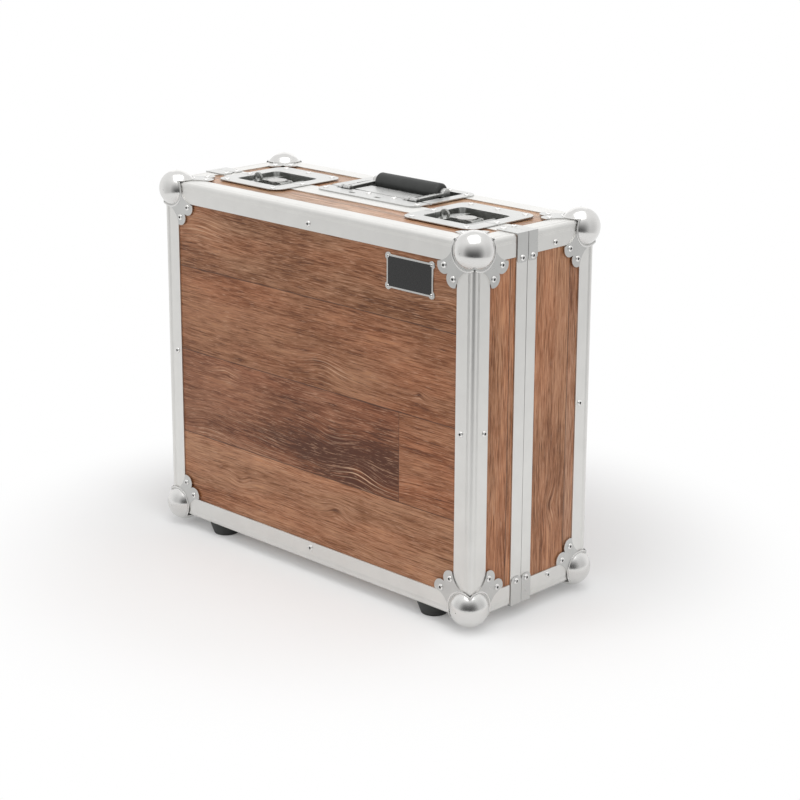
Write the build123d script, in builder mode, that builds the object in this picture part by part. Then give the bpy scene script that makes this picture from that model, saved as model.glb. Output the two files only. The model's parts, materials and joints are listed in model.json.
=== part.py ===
from build123d import *
from math import asin, cos, pi, sin
import os

# A turntable hard case, standing on its feet with the handle and latches on top.
# Millimetres. The origin is on the floor below the middle of the case. +X is to the
# right as seen from the lid, +Y goes from the lid to the base shell, +Z is up.

# Shells, over the edge angles
case_w = 520.0
case_h = 434.0
lid_d = 86.4
base_d = 115.6
split_gap = 0.4
ply_t = 6.5

# Edge angles
leg = 25.4
angle_t = 1.6
arris_r = 4.0

# Closing profiles, with the lid's tongue and the base's groove
lid_closing_w = 18.0
base_closing_w = 15.8
closing_gap = 1.0
lid_web_t = 2.2
base_web_t = 5.0
lip_t = 1.2
lip_l = 10.0
tongue_in = 3.0
tongue_t = 2.4
tongue_l = 3.2
groove_clear = 0.4
tongue_start = 14.0
mitre_gap = 0.2

# Corner brackets over the closing profiles
bracket_leg = 33.0
bracket_t = 1.2
bracket_r = 6.0
bracket_rivet = 27.5

# Ball corners
ball_r = 22.8
ball_inset = 11.3
ball_plate_t = 1.2
plate_reach = 48.2
lobe_far = 43.8
lobe_near = 30.0
lobe_r = 10.0
scoop_at = 56.9
scoop_r = 26.9

# Feet
foot_h = 17.0
foot_from_side = 77.0
foot_from_face = 24.0
foot_bottom_r = 15.5
foot_top_r = 21.5
foot_bore_r = 3.0
foot_counter_r = 7.0
foot_counter_h = 9.0
screw_head_h = 2.4
screw_clear = 0.1
screw_bite = 5.0

# Rivets
rivet_r = 3.7
rivet_h = 1.5
rivet_from_arris = 17.5
side_rivet_lid = 20.0
side_rivet_base = 18.0
depth_rivet_from_rear = 68.0
depth_rivet_edge = 19.0

# Name plate, left blank
plate_w = 76.0
plate_h = 43.0
plate_t = 1.2
plate_from_side = 97.0
plate_below_top = 51.2
plate_lobe_r = 4.6
plate_rivet_r = 1.8
plate_rivet_h = 0.9
plate_rivet_in = 3.4

# Latches
latch_share = 0.6129
latch_from_split = 10.6
latch_w = 112.0
latch_front = 42.6
latch_rear = 71.4
latch_corner_r = 16.0
flange_t = 1.4
tray_t = 1.4
tray_depth = 14.0
recess_w = 76.0
recess_d = 68.0
recess_r = 6.0
cut_clear = 0.5
latch_rivet_in = 7.5
latch_rivet_pitch = 42.0

# Latch rotor
hub_r = 12.0
hub_top = 0.6
hub_h = 7.2
stem_r = 4.5
stem_clear = 0.06
stem_head_r = 7.5
stem_head_t = 1.4
run_gap = 0.3
ear_x = 15.0
ear_y = 9.0
ear_t = 2.2
ear_r = 2.4
wing_pin_z = -3.4
wing_pin_r = 1.2

# Latch wings
wing_r = 33.0
wing_t = 1.6
wing_barrel_r = 2.2
wing_clear = 0.3
wing_root = 3.2
pin_clear = 0.06
ring_r = 6.5
ring_hole_r = 4.2
ring_t = 3.0
ring_x = 10.0
ring_y = 9.0
ring_rise = 3.9

# Latch hook and keeper
hook_w = 16.0
hook_t = 1.8
hook_tip_t = 2.4
keeper_y = 26.2
keeper_t = 2.0
keeper_h = 3.0
keeper_clear = 0.4
hook_tail = 3.0
hook_bar = 3.0
hook_forward = 2.25
hook_window = 0.5
hook_tip_gap = 0.6

# Handle
handle_w = 168.0
handle_from_split = 1.8
handle_from_rear = 1.6
handle_corner_r = 14.0
handle_recess_w = 140.0
handle_bay_d = 41.0
handle_bay_from_rear = 14.0
channel_l = 37.0
channel_in = 44.0
channel_out = 68.0
handle_depth = 16.0
grip_r = 11.2
grip_l = 103.2
grip_from_bay = 17.5
grip_z = 2.6
grip_round = 3.0
rod_r = 4.0
rod_clear = 0.1
arm_w = 8.0
arm_t = 3.2
arm_gap = 0.4
eye_r = 6.0
pivot_in = 7.0
pivot_z = 1.4
barrel_r = 3.6
handle_pin_r = 2.0
handle_pin_clear = 0.06
lug_t = 3.0
lug_gap = 0.5
lug_r = 3.6
handle_rivet_in = 7.0
handle_rivet_pitch = 42.5
handle_rivet_x = -12.0
handle_rivet_y = 22.0
handle_slot_x = -29.0
handle_slot_y = 11.0
handle_slot_w = 10.0
handle_slot_d = 4.0

# Hinges, below the split
hinge_from_side = 140.0
hinge_w = 60.0
hinge_leaf = 15.0
hinge_leaf_t = 1.5
knuckle_r = 4.0
knuckle_drop = 4.6
knuckle_gap = 0.4
knuckles = 5
hinge_pin_r = 1.75
hinge_pin_clear = 0.06
hinge_tab_t = 0.9

# Foam
back_foam_t = 12.0
side_foam_t = 24.0
end_foam_t = 31.0
foam_setback = 0.4
foam_seam = 0.2
foam_tray_gap = 1.0
foam_under = 4.0

# Places that follow from the sizes
case_d = lid_d + base_d
front_y = -case_d / 2
rear_y = case_d / 2
side_x = case_w / 2
low = foot_h
high = foot_h + case_h
mid_z = (low + high) / 2
split_y = front_y + lid_d
lid_edge = split_y - split_gap / 2
base_edge = split_y + split_gap / 2
panel_in = angle_t + ply_t
rim_in = panel_in + lip_t
wide_x = side_x - angle_t
narrow_x = side_x - panel_in
lid_closing_y = lid_edge - lid_closing_w
base_closing_y = base_edge + base_closing_w
tray_floor = high - tray_depth
pin_z = high + wing_pin_z
hub_low = high - hub_top - hub_h
hook_low = tray_floor + run_gap
keeper_top = tray_floor + keeper_h
hook_over = keeper_top + keeper_clear
hook_under_stem = hook_window + stem_r
wing_half = ear_y - ear_t / 2 - wing_clear
foot_x = side_x - foot_from_side
foot_y = case_d / 2 - foot_from_face
plate_x = side_x - plate_from_side
hinge_x = side_x - hinge_from_side
latch_x = (handle_w + latch_w) / 2 + latch_share * (side_x - bracket_leg - handle_w / 2 - latch_w)
latch_y = split_y + latch_from_split
handle_d = rear_y - handle_from_rear - base_edge - handle_from_split
handle_y = base_edge + handle_from_split + handle_d / 2
handle_recess_rear = rear_y - handle_bay_from_rear
handle_recess_front = handle_recess_rear - handle_bay_d
channel_front = handle_recess_front - channel_l
grip_y = handle_recess_rear - grip_from_bay
pivot_y = channel_front + pivot_in
latch_hole_w = recess_w + 2 * (tray_t + cut_clear)
latch_hole_front = latch_y - recess_d / 2 - tray_t - cut_clear
latch_hole_rear = latch_y + recess_d / 2 + tray_t + cut_clear
far = 3 * max(case_w, case_h, case_d)
high_mid = Plane.XY.offset(mid_z)

os.makedirs("parts", exist_ok=True)


def keep(builder, name):
    """Label a finished piece and write its file."""
    builder.part.label = name
    export_step(builder.part, "parts/" + name + ".step")


def block(x, y, z, mode=Mode.ADD):
    """A box between two limits on each axis."""
    with Locations(((x[0] + x[1]) / 2, (y[0] + y[1]) / 2, (z[0] + z[1]) / 2)):
        Box(abs(x[1] - x[0]), abs(y[1] - y[0]), abs(z[1] - z[0]), mode=mode)


def rod(radius, x, y, z, mode=Mode.ADD):
    """A round bar along X between two limits."""
    with Locations(Location(((x[0] + x[1]) / 2, y, z), (0, 90, 0))):
        Cylinder(radius, abs(x[1] - x[0]), mode=mode)


def ring(outer, inner, y, mode=Mode.ADD):
    """A rectangular ring round the case, between two depths below its outer faces."""
    with BuildSketch(Plane.XZ.offset(-y[1])) as section:
        with Locations((0, mid_z)):
            Rectangle(case_w - 2 * outer, case_h - 2 * outer)
            Rectangle(case_w - 2 * inner, case_h - 2 * inner, mode=Mode.SUBTRACT)
    extrude(section.sketch, amount=y[1] - y[0], mode=mode)


def latch_holes(depth):
    """The two holes in the top of a shell that the latch trays drop through."""
    for x in (-latch_x, latch_x):
        block((x - latch_hole_w / 2, x + latch_hole_w / 2), (latch_hole_front, latch_hole_rear),
              (high - depth, high + depth), Mode.SUBTRACT)


def handle_shape(grow):
    """The handle's recess in plan: a wide bay with a channel to each pivot."""
    bay_d = handle_recess_rear - handle_recess_front + 2 * grow
    with Locations((0, (handle_recess_rear + handle_recess_front) / 2)):
        Rectangle(handle_recess_w + 2 * grow, bay_d)
    with Locations(((channel_in + channel_out) / 2, (channel_front + handle_recess_front) / 2),
                   (-(channel_in + channel_out) / 2, (channel_front + handle_recess_front) / 2)):
        Rectangle(channel_out - channel_in + 2 * grow, handle_recess_front - channel_front + 2 * grow)


def handle_hole(depth):
    """The hole in the base's top that the handle's tray drops through."""
    with BuildSketch(Plane.XY.offset(high - depth)) as opening:
        handle_shape(tray_t + cut_clear)
    extrude(opening.sketch, amount=2 * depth, mode=Mode.SUBTRACT)


# Panels. Their outer faces lie one angle thickness below the edge angles' faces.

with BuildPart() as lid_front_panel:
    block((-wide_x, wide_x), (front_y + angle_t, front_y + panel_in), (low + angle_t, high - angle_t))
keep(lid_front_panel, "lid_front_panel")

with BuildPart() as base_back_panel:
    block((-wide_x, wide_x), (rear_y - panel_in, rear_y - angle_t), (low + angle_t, high - angle_t))
keep(base_back_panel, "base_back_panel")

lid_side_y = (front_y + panel_in, lid_edge - lid_web_t)
base_side_y = (base_edge + base_web_t, rear_y - panel_in)
for shell, span in (("lid", lid_side_y), ("base", base_side_y)):
    for name, sign in (("left", -1), ("right", 1)):
        with BuildPart() as side_panel:
            block((sign * narrow_x, sign * wide_x), span, (low + angle_t, high - angle_t))
        keep(side_panel, shell + "_" + name + "_panel")
    with BuildPart() as bottom_panel:
        block((-narrow_x, narrow_x), span, (low + angle_t, low + panel_in))
    keep(bottom_panel, shell + "_bottom_panel")
    with BuildPart() as top_panel:
        block((-narrow_x, narrow_x), span, (high - panel_in, high - angle_t))
        latch_holes(2 * panel_in)
        if shell == "base":
            handle_hole(2 * panel_in)
    keep(top_panel, shell + "_top_panel")

# Edge angles: L profiles with a rounded arris, square cut below the ball corners.


def angle_run(middle, u, v, length):
    """One edge angle. u and v point inward from its arris along the two legs."""
    plane = Plane(origin=middle, x_dir=u, z_dir=Vector(*u).cross(Vector(*v)))
    with BuildSketch(plane) as section:
        with BuildLine():
            Polyline((0, 0), (leg, 0), (leg, angle_t), (angle_t, angle_t), (angle_t, leg), (0, leg), close=True)
        make_face()
        fillet(section.vertices().sort_by_distance((0, 0, 0))[0], arris_r)
    extrude(section.sketch, amount=length / 2, both=True)


for shell, face_y, inward in (("lid", front_y, 1), ("base", rear_y, -1)):
    for name, face_z, down in (("top", high, -1), ("bottom", low, 1)):
        with BuildPart() as angle:
            angle_run((0, face_y, face_z), (0, inward, 0), (0, 0, down), case_w - 2 * leg)
            if shell == "base" and name == "top":
                handle_hole(tray_depth)
        keep(angle, shell + "_angle_" + name)
    for name, sign in (("left", -1), ("right", 1)):
        with BuildPart() as angle:
            angle_run((sign * side_x, face_y, mid_z), (0, inward, 0), (-sign, 0, 0), case_h - 2 * leg)
        keep(angle, shell + "_angle_" + name)

for shell, start, end in (("lid", front_y + leg, lid_closing_y - closing_gap),
                          ("base", base_closing_y + closing_gap, rear_y - leg)):
    with BuildPart() as depth_angles:
        angle_run((side_x, (start + end) / 2, high), (-1, 0, 0), (0, 0, -1), end - start)
        mirror(about=Plane.YZ)
        mirror(about=high_mid)
    keep(depth_angles, shell + "_depth_angles")

# Closing profiles: an outer leg over the panel, a web over its edge, a lip inside it.


def mitres(y):
    """Thin saw cuts across the four corners of a closing profile."""
    reach = rim_in + leg
    for x, z, turn in ((side_x, high, 45), (-side_x, high, -45), (side_x, low, -45), (-side_x, low, 45)):
        with Locations(Location((x, (y[0] + y[1]) / 2, z), (0, turn, 0))):
            Box(mitre_gap, 2 * (y[1] - y[0]), reach, mode=Mode.SUBTRACT)


with BuildPart() as lid_closing_frame:
    ring(0, angle_t, (lid_closing_y, lid_edge))
    ring(0, rim_in, (lid_edge - lid_web_t, lid_edge))
    ring(panel_in, rim_in, (lid_edge - lip_l, lid_edge))
    ring(tongue_in, tongue_in + tongue_t, (lid_edge, lid_edge + tongue_l))
    block((-side_x, side_x), (lid_edge, lid_edge + 2 * tongue_l), (low, low + tongue_start), Mode.SUBTRACT)
    latch_holes(2 * rim_in)
    mitres((lid_closing_y, lid_edge))
keep(lid_closing_frame, "lid_closing_frame")

groove_y = (base_edge, base_edge + tongue_l + groove_clear)
with BuildPart() as base_closing_frame:
    ring(0, angle_t, (base_edge, base_closing_y))
    ring(0, rim_in, (base_edge, base_edge + base_web_t))
    ring(panel_in, rim_in, (base_edge, base_edge + lip_l))
    ring(tongue_in - groove_clear, tongue_in + tongue_t + groove_clear, groove_y, Mode.SUBTRACT)
    latch_holes(2 * rim_in)
    mitres((base_edge, base_closing_y))
keep(base_closing_frame, "base_closing_frame")

# Corner brackets that wrap each case corner over the closing profiles

for shell, span in (("lid", (lid_closing_y, lid_edge)), ("base", (base_edge, base_closing_y))):
    with BuildPart() as closing_corners:
        block((side_x - bracket_leg, side_x + bracket_t), span, (high, high + bracket_t))
        fillet(closing_corners.edges().filter_by(Axis.Z).group_by(Axis.X)[0], bracket_r)
        block((side_x, side_x + bracket_t), span, (high - bracket_leg, high + bracket_t))
        fillet(closing_corners.edges().filter_by(Axis.X).group_by(Axis.Z)[0], bracket_r)
        mirror(about=Plane.YZ)
        mirror(about=high_mid)
    keep(closing_corners, shell + "_closing_corners")

# Ball corners: the ball outside the case, and a lobed plate on each of three faces

corner_faces = (((0, 0, -1), (1, 0, 0)), ((-1, 0, 0), (0, -1, 0)), ((0, 1, 0), (0, 0, 1)))


def corner_plate():
    """The plate's outline from the case's corner, with two rivet lobes."""
    lip = -ball_plate_t
    Polygon((lip, lip), (plate_reach, lip), (plate_reach, leg), (lobe_far, lobe_near),
            (lobe_near, lobe_far), (leg, plate_reach), (lip, plate_reach), align=None)
    with Locations((lobe_far, lobe_near), (lobe_near, lobe_far)):
        Circle(lobe_r)
    with Locations((scoop_at, 0), (0, scoop_at)):
        Circle(scoop_r, mode=Mode.SUBTRACT)


with BuildPart() as corner_rt:
    with Locations((side_x - ball_inset, front_y + ball_inset, high - ball_inset)):
        Sphere(ball_r)
    block((side_x - far, side_x), (front_y, front_y + far), (high - far, high), Mode.SUBTRACT)
    for x_dir, z_dir in corner_faces:
        with BuildSketch(Plane(origin=(side_x, front_y, high), x_dir=x_dir, z_dir=z_dir)):
            corner_plate()
        extrude(amount=ball_plate_t)
    with Locations((side_x - ball_inset, front_y + ball_inset, high - ball_inset)):
        Sphere(ball_r - ball_plate_t, mode=Mode.SUBTRACT)

with BuildPart() as corner_lt:
    mirror(corner_rt.part, about=Plane.YZ)

for name, top_corner in (("right", corner_rt), ("left", corner_lt)):
    with BuildPart() as corner:
        add(top_corner.part)
    keep(corner, "lid_ball_corner_top_" + name)
    with BuildPart() as corner:
        mirror(top_corner.part, about=high_mid)
    keep(corner, "lid_ball_corner_bottom_" + name)
    with BuildPart() as rear_corner:
        mirror(top_corner.part, about=Plane.XZ)
    keep(rear_corner, "base_ball_corner_top_" + name)
    with BuildPart() as corner:
        mirror(rear_corner.part, about=high_mid)
    keep(corner, "base_ball_corner_bottom_" + name)

# Feet: rubber cones with a sunk screw

for shell, sign in (("lid", -1), ("base", 1)):
    with BuildPart() as feet:
        for x in (-foot_x, foot_x):
            with BuildSketch(Plane.XY.offset(0)):
                with Locations((x, sign * foot_y)):
                    Circle(foot_bottom_r)
            with BuildSketch(Plane.XY.offset(low)):
                with Locations((x, sign * foot_y)):
                    Circle(foot_top_r)
            loft()
            with Locations((x, sign * foot_y, foot_h / 2)):
                Cylinder(foot_bore_r, 2 * foot_h, mode=Mode.SUBTRACT)
            with Locations((x, sign * foot_y, foot_counter_h / 2)):
                Cylinder(foot_counter_r, foot_counter_h, mode=Mode.SUBTRACT)
    keep(feet, shell + "_feet")

# Latches. The dish is one stamping, cut at the split into a base half and a lid half.


def tray(x):
    """The whole dish of one latch: a flange on the case's top and a sunk tray."""
    floor = tray_floor - tray_t
    with BuildSketch(Plane.XY.offset(high)) as flange:
        with Locations((x, split_y + (latch_rear - latch_front) / 2)):
            RectangleRounded(latch_w, latch_front + latch_rear, latch_corner_r)
    extrude(flange.sketch, amount=flange_t)
    with BuildSketch(Plane.XY.offset(floor)) as outside:
        with Locations((x, latch_y)):
            RectangleRounded(recess_w + 2 * tray_t, recess_d + 2 * tray_t, recess_r + tray_t)
    extrude(outside.sketch, amount=high + flange_t - floor)
    with BuildSketch(Plane.XY.offset(tray_floor)) as inside:
        with Locations((x, latch_y)):
            RectangleRounded(recess_w, recess_d, recess_r)
    extrude(inside.sketch, amount=tray_depth + 2 * flange_t, mode=Mode.SUBTRACT)



def cross_bar(radius, x, y, z, mode=Mode.ADD):
    """A round bar along Y between two limits."""
    with Locations(Location((x, (y[0] + y[1]) / 2, z), (90, 0, 0))):
        Cylinder(radius, abs(y[1] - y[0]), mode=mode)


for side, x in (("l", -latch_x), ("r", latch_x)):
    latch = "latch_" + side

    with BuildPart() as base_dish:
        tray(x)
        block((x - far, x + far), (base_edge - far, base_edge), (high - far, high + far), Mode.SUBTRACT)
        with Locations((x, latch_y, tray_floor)):
            Cylinder(stem_r + stem_clear, 4 * tray_t, mode=Mode.SUBTRACT)
    keep(base_dish, latch + "_base_dish")

    with BuildPart() as lid_dish:
        tray(x)
        block((x - far, x + far), (lid_edge, lid_edge + far), (high - far, high + far), Mode.SUBTRACT)
        block((x - hook_w / 2, x + hook_w / 2),
              (latch_y - keeper_y - keeper_t / 2, latch_y - keeper_y + keeper_t / 2),
              (tray_floor, keeper_top))
    keep(lid_dish, latch + "_lid_dish")

    # The rotor: a hub on a stem through the dish's floor, headed over below it
    with BuildPart() as rotor:
        with Locations((x, latch_y, hub_low + hub_h / 2)):
            Cylinder(hub_r, hub_h)
        stem_end = tray_floor - tray_t - run_gap
        with Locations((x, latch_y, (hub_low + stem_end) / 2)):
            Cylinder(stem_r, hub_low - stem_end)
        with Locations((x, latch_y, stem_end - stem_head_t / 2)):
            Cylinder(stem_head_r, stem_head_t)
        for out in (-1, 1):
            for y in (latch_y - ear_y, latch_y + ear_y):
                block((x + out * hub_r / 2, x + out * ear_x), (y - ear_t / 2, y + ear_t / 2),
                      (pin_z - ear_r, pin_z + ear_r))
                cross_bar(ear_r, x + out * ear_x, (y - ear_t / 2, y + ear_t / 2), pin_z)
            cross_bar(wing_pin_r, x + out * ear_x, (latch_y - ear_y, latch_y + ear_y), pin_z)
    keep(rotor, latch + "_rotor")

    # The hook: a low plate with a window round the stem, stepped up over the keeper
    step_y = latch_y - hub_r - 2 * run_gap
    tip_y = latch_y - keeper_y - keeper_t / 2 - keeper_clear
    tail_y = latch_y + hook_under_stem + hook_forward + hook_tail
    hook_x = (x - hook_w / 2, x + hook_w / 2)
    with BuildPart() as hook:
        block(hook_x, (step_y - hook_t, tail_y), (hook_low, hook_low + hook_t))
        block(hook_x, (step_y - hook_t, step_y), (hook_low, hook_over + hook_t))
        block(hook_x, (tip_y - hook_tip_t, step_y), (hook_over, hook_over + hook_t))
        block(hook_x, (tip_y - hook_tip_t, tip_y), (tray_floor + hook_tip_gap, hook_over + hook_t))
        block((x - hook_w / 2 + hook_bar, x + hook_w / 2 - hook_bar),
              (latch_y - hook_under_stem, tail_y - hook_tail), (hook_low - hook_t, hook_low + 2 * hook_t),
              Mode.SUBTRACT)
    keep(hook, latch + "_hook")

    # The wings: part discs on a barrel, the left one with a finger ring
    for name, out in (("left", -1), ("right", 1)):
        pin_x = x + out * ear_x
        with BuildPart() as wing:
            with BuildSketch(Plane.XY.offset(pin_z - wing_t / 2)):
                with Locations((x, latch_y)):
                    Circle(wing_r)
                with Locations((pin_x + out * (wing_root - far / 2), latch_y)):
                    Rectangle(far, far, mode=Mode.SUBTRACT)
            extrude(amount=wing_t)
            block((pin_x, pin_x + out * 2 * wing_root), (latch_y - wing_half, latch_y + wing_half),
                  (pin_z - wing_t / 2, pin_z + wing_t / 2))
            cross_bar(wing_barrel_r, pin_x, (latch_y - wing_half, latch_y + wing_half), pin_z)
            if out < 0:
                ring_span = (latch_y - ring_y - ring_t / 2, latch_y - ring_y + ring_t / 2)
                cross_bar(ring_r, pin_x - ring_x, ring_span, pin_z + ring_rise)
                block((pin_x - ring_x - ring_r, pin_x - ring_x + ring_r), ring_span,
                      (pin_z - wing_t / 2 - 2 * ring_r, pin_z - wing_t / 2), Mode.SUBTRACT)
                with BuildSketch(Plane.XZ.offset(-ring_span[1])):
                    with Locations((pin_x - ring_x, pin_z + ring_rise)):
                        Circle(ring_hole_r)
                    with Locations((pin_x - ring_x, pin_z + wing_t / 2 - ring_r)):
                        Rectangle(2 * ring_r, 2 * ring_r, mode=Mode.SUBTRACT)
                extrude(amount=ring_t, mode=Mode.SUBTRACT)
            cross_bar(wing_pin_r + pin_clear, pin_x, (latch_y - ear_y, latch_y + ear_y), pin_z, Mode.SUBTRACT)
        keep(wing, latch + "_wing_" + name)

# Handle: a flanged dish with a bay for the grip and a channel for each arm

handle_floor = high - handle_depth
pivot_height = high + pivot_z
grip_height = high + grip_z
arm_x = grip_l / 2 + arm_gap + arm_w / 2

with BuildPart() as handle_dish:
    with BuildSketch(Plane.XY.offset(high)):
        with Locations((0, handle_y)):
            RectangleRounded(handle_w, handle_d, handle_corner_r)
        for n in (0, 1):
            with Locations((handle_slot_x + n * handle_rivet_pitch, handle_y - handle_d / 2 + handle_slot_y)):
                Rectangle(handle_slot_w, handle_slot_d, mode=Mode.SUBTRACT)
    extrude(amount=flange_t)
    with BuildSketch(Plane.XY.offset(handle_floor - tray_t)):
        handle_shape(tray_t)
    extrude(amount=handle_depth + tray_t + flange_t)
    with BuildSketch(Plane.XY.offset(handle_floor)):
        handle_shape(0)
    extrude(amount=handle_depth + 2 * flange_t, mode=Mode.SUBTRACT)
    # A pair of lugs for each arm's pivot
    for sign in (-1, 1):
        for gap in (-1, 1):
            lug_x = sign * arm_x + gap * (arm_w / 2 + lug_gap + lug_t / 2)
            lug_span = (lug_x - lug_t / 2, lug_x + lug_t / 2)
            block(lug_span, (pivot_y - lug_r, pivot_y + lug_r), (handle_floor, pivot_height))
            rod(lug_r, lug_span, pivot_y, pivot_height)
    rod(handle_pin_r, (-handle_w / 2, handle_w / 2), pivot_y, pivot_height, Mode.SUBTRACT)
keep(handle_dish, "handle_dish")

with BuildPart() as handle_pins:
    for sign in (-1, 1):
        reach = arm_w / 2 + lug_gap + lug_t
        rod(handle_pin_r, (sign * arm_x - reach, sign * arm_x + reach), pivot_y, pivot_height)
keep(handle_pins, "handle_pins")

with BuildPart() as handle_bail:
    for sign in (-1, 1):
        arm_span = (sign * arm_x - arm_w / 2, sign * arm_x + arm_w / 2)
        with BuildSketch(Plane.YZ.offset(arm_span[0])):
            with BuildLine():
                Polyline((pivot_y, pivot_height - arm_t / 2), (grip_y, grip_height - arm_t / 2),
                         (grip_y, grip_height + arm_t / 2), (pivot_y, pivot_height + arm_t / 2), close=True)
            make_face()
        extrude(amount=arm_w)
        rod(barrel_r, arm_span, pivot_y, pivot_height)
        rod(eye_r, arm_span, grip_y, grip_height)
        rod(handle_pin_r + handle_pin_clear, arm_span, pivot_y, pivot_height, Mode.SUBTRACT)
    rod(rod_r, (-arm_x, arm_x), grip_y, grip_height)
keep(handle_bail, "handle_bail")

with BuildPart() as handle_grip:
    rod(grip_r, (-grip_l / 2, grip_l / 2), grip_y, grip_height)
    fillet(handle_grip.edges().filter_by(GeomType.CIRCLE), grip_round)
    rod(rod_r + rod_clear, (-grip_l, grip_l), grip_y, grip_height, Mode.SUBTRACT)
keep(handle_grip, "handle_grip")

# Hinges under the split: a leaf on each shell, with knuckles taken in turn on one pin

hinge_z = low - knuckle_drop
knuckle_l = hinge_w / knuckles


def hinge_leaf_at(x, sign, odd):
    """One leaf with its knuckles. sign is -1 for the lid's side and 1 for the base's."""
    block((x - hinge_w / 2, x + hinge_w / 2), (split_y + sign * (knuckle_drop + knuckle_gap),
          split_y + sign * (knuckle_drop + hinge_leaf)), (low - hinge_leaf_t, low))
    for n in range(odd, knuckles, 2):
        start = x - hinge_w / 2 + n * knuckle_l + knuckle_gap / 2
        span = (start, start + knuckle_l - knuckle_gap)
        block(span, (split_y + sign * knuckle_r / 2, split_y + sign * (knuckle_drop + knuckle_gap)),
              (low - hinge_leaf_t, low - hinge_leaf_t + hinge_tab_t))
        rod(knuckle_r, span, split_y, hinge_z)
    rod(hinge_pin_r + hinge_pin_clear, (x - hinge_w, x + hinge_w), split_y, hinge_z, Mode.SUBTRACT)


with BuildPart() as base_hinge_leaves:
    for x in (-hinge_x, hinge_x):
        hinge_leaf_at(x, 1, 0)
keep(base_hinge_leaves, "base_hinge_leaves")

with BuildPart() as lid_hinge_leaves:
    for x in (-hinge_x, hinge_x):
        hinge_leaf_at(x, -1, 1)
keep(lid_hinge_leaves, "lid_hinge_leaves")

with BuildPart() as hinge_pins:
    for x in (-hinge_x, hinge_x):
        rod(hinge_pin_r, (x - hinge_w / 2, x + hinge_w / 2), split_y, hinge_z)
keep(hinge_pins, "hinge_pins")

# Name plate: a blank plate with four rivet lobes, flat on the lid's laminate

plate_z = high - plate_below_top
plate_y = front_y + angle_t
with BuildPart() as name_plate:
    with BuildSketch(Plane.XZ.offset(-plate_y)):
        with Locations((plate_x, plate_z)):
            Rectangle(plate_w - plate_lobe_r, plate_h - plate_lobe_r)
            with GridLocations(plate_w - 2 * plate_lobe_r, plate_h - 2 * plate_lobe_r, 2, 2):
                Circle(plate_lobe_r)
    extrude(amount=plate_t)
keep(name_plate, "name_plate")

# Foam: flat slabs that make a pocket for the turntable in each shell. Between the
# dishes the base's top slab has a second layer, packed up to the panel.

foam_low = low + panel_in
foam_high = high - panel_in
foam_top = high - tray_depth - tray_t - foam_under
end_x = narrow_x - side_foam_t - foam_seam
bay_side = handle_recess_w / 2 + tray_t + foam_tray_gap
latch_inner = latch_x - latch_hole_w / 2
latch_outer = latch_x + latch_hole_w / 2
lid_foam_y = (front_y + panel_in + back_foam_t + foam_seam, lid_edge - lip_l - foam_setback)
base_foam_y = (base_edge + lip_l + foam_setback, rear_y - panel_in - back_foam_t - foam_seam)

for shell, span in (("lid", lid_foam_y), ("base", base_foam_y)):
    with BuildPart() as back_slab:
        if shell == "lid":
            block((-narrow_x, narrow_x), (front_y + panel_in, span[0] - foam_seam), (foam_low, foam_high))
        else:
            back = (span[1] + foam_seam, rear_y - panel_in)
            block((-narrow_x, narrow_x), back, (foam_low, foam_top))
            block((bay_side, narrow_x), back, (foam_top + foam_seam, foam_high))
            block((-narrow_x, -bay_side), back, (foam_top + foam_seam, foam_high))
    with BuildPart() as side_slabs:
        for sign in (-1, 1):
            block((sign * (narrow_x - side_foam_t), sign * narrow_x), span, (foam_low, foam_high))
    with BuildPart() as end_slabs:
        block((-end_x, end_x), span, (foam_low, foam_low + end_foam_t))
        if shell == "lid":
            block((-end_x, end_x), span, (foam_high - end_foam_t, foam_high))
            latch_holes(tray_depth + tray_t + foam_under)
        else:
            block((-end_x, end_x), span, (foam_high - end_foam_t, foam_top))
            for sign in (-1, 1):
                block((sign * bay_side, sign * latch_inner), span, (foam_top + foam_seam, foam_high))
                block((sign * latch_outer, sign * end_x), span, (foam_top + foam_seam, foam_high))
    with BuildPart() as lining:
        add(back_slab.part)
        add(side_slabs.part)
        add(end_slabs.part)
    keep(lining, shell + "_foam")

# Fasteners: domed rivet heads on what they hold, and the feet's screws


def domes(radius, height, places):
    """Domed heads, each standing on a point and facing along a direction."""
    curve_r = (radius ** 2 + height ** 2) / (2 * height)
    half = asin(radius / curve_r) / 2
    with BuildPart(mode=Mode.PRIVATE) as dome:
        with BuildSketch(Plane.XZ):
            with BuildLine():
                Line((0, 0), (radius, 0))
                ThreePointArc((radius, 0), (curve_r * sin(half), height - curve_r * (1 - cos(half))), (0, height))
                Line((0, height), (0, 0))
            make_face()
        revolve(axis=Axis.Z)
    with Locations([Plane(origin=point, z_dir=facing) for point, facing in places]):
        add(dome.part)


def both_sides(places):
    """The same heads on the left and on the right."""
    return places + [((-p[0], p[1], p[2]), (-d[0], d[1], d[2])) for p, d in places]


def corner_rivets(front):
    """Two heads on each face of a shell's four ball corners."""
    y = front_y if front < 0 else rear_y
    places = []
    for a, b in ((lobe_far, lobe_near), (lobe_near, lobe_far)):
        for z, up in ((high, 1), (low, -1)):
            lift = up * ball_plate_t
            places.append(((side_x + ball_plate_t, y - front * a, z - up * b), (1, 0, 0)))
            places.append(((side_x - a, y + front * ball_plate_t, z - up * b), (0, front, 0)))
            places.append(((side_x - a, y - front * b, z + lift), (0, 0, up)))
    return both_sides(places)


def closing_rivets(y):
    """A head on each leg of a shell's four closing brackets."""
    places = []
    for z, up in ((high, 1), (low, -1)):
        places.append(((side_x + bracket_t, y, z - up * bracket_rivet), (1, 0, 0)))
        places.append(((side_x - bracket_rivet, y, z + up * bracket_t), (0, 0, up)))
    return both_sides(places)


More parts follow.
